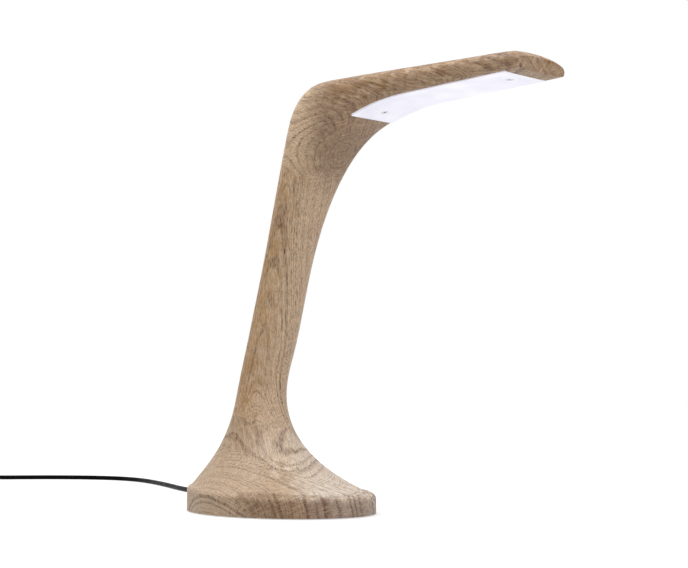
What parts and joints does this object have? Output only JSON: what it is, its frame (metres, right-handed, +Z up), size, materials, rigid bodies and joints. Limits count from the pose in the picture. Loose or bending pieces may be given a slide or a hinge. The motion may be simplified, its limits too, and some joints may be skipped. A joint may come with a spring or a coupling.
{
  "type": "desk lamp",
  "caption": "Carved wooden desk lamp: oval foot, leaning neck, rounded elbow and a flat arm with an opal light panel in its curved underside, corded to an inline rocker switch and a plug.",
  "frame": {"origin": "centre of the foot's underside, on the table", "axes": "+X along the arm, from the neck to its tip; +Z up"},
  "size_m": [1.091, 0.3781, 0.4295],
  "materials": {
    "oak": "matt oiled oak",
    "beech": "raw beech",
    "black_steel": "matt black powder coat",
    "screw_steel": "zinc plated",
    "panel_screw_steel": "white zinc, satin",
    "felt": "pressed felt",
    "sleeve_rubber": "soft matt",
    "cord_sheath": "smooth matt sheath",
    "core_insulation": "wire insulation",
    "red_insulation": "wire insulation",
    "black_insulation": "wire insulation",
    "clamp_plastic": "moulded",
    "white_plastic": "moulded",
    "foam_tape": "foam",
    "board": "solder mask",
    "board_parts": "moulded",
    "strip_white": "white solder mask",
    "phosphor": "silicone over phosphor",
    "aluminium": "rolled sheet",
    "opal": "satin opal acrylic",
    "brass": "plain",
    "switch_plastic": "fine moulded texture",
    "rocker_plastic": "smooth",
    "tie_fabric": "hook and loop tape",
    "plug_plastic": "fine moulded texture",
    "nickel_pins": "bright nickel"
  },
  "bodies": {
    "lamp": {"stem": "oak", "arm": "oak", "joint_dowels": "beech", "base_plate": "black_steel", "base_screws": "screw_steel", "foot_pad": "felt", "cord_sleeve": "sleeve_rubber", "cord_inner": "cord_sheath", "cord_cores": "core_insulation", "cord_clamp": "clamp_plastic", "clamp_screws": "screw_steel", "terminal_block": "white_plastic", "terminal_screws": "brass", "driver_tape": "foam_tape", "driver_case": "white_plastic", "driver_lid": "white_plastic", "driver_board": "board", "driver_parts": "board_parts", "driver_leads": "core_insulation", "lead_red": "red_insulation", "lead_black": "black_insulation", "heat_sink": "aluminium", "heat_sink_screws": "screw_steel", "led_strips": "strip_white", "led_chips": "phosphor", "led_connector": "white_plastic", "diffuser": "opal", "diffuser_screws": "panel_screw_steel", "diffuser_spacers": "white_plastic", "cord_to_switch": "cord_sheath", "switch_base": "switch_plastic", "switch_cover": "switch_plastic", "switch_terminals": "brass", "switch_cores": "core_insulation", "switch_cord_ends": "cord_sheath", "switch_clamps": "clamp_plastic", "switch_clamp_screws": "screw_steel", "switch_screws": "screw_steel", "cord_to_plug": "cord_sheath", "cord_coil": "cord_sheath", "coil_tie": "tie_fabric", "cord_tail": "cord_sheath", "plug_body": "plug_plastic", "plug_pins": "nickel_pins"},
    "rocker": {"switch_rocker": "rocker_plastic"},
    "contact": {"switch_contact": "brass"}
  },
  "joints": [
    {"name": "rocker_tilt", "type": "hinge", "parent": "lamp", "child": "rocker", "pos_m": [-0.7315, -0.045, 0.0136], "axis": [1, 0, 0], "range_deg": [0, 18]},
    {"name": "contact_tip", "type": "hinge", "parent": "lamp", "child": "contact", "pos_m": [-0.7315, -0.045, 0.0062], "axis": [1, 0, 0], "range_deg": [-11.1, 0]}
  ],
  "couplings": [
    {"joint": "contact_tip", "follows": "rocker_tilt", "ratio": -0.6111}
  ]
}
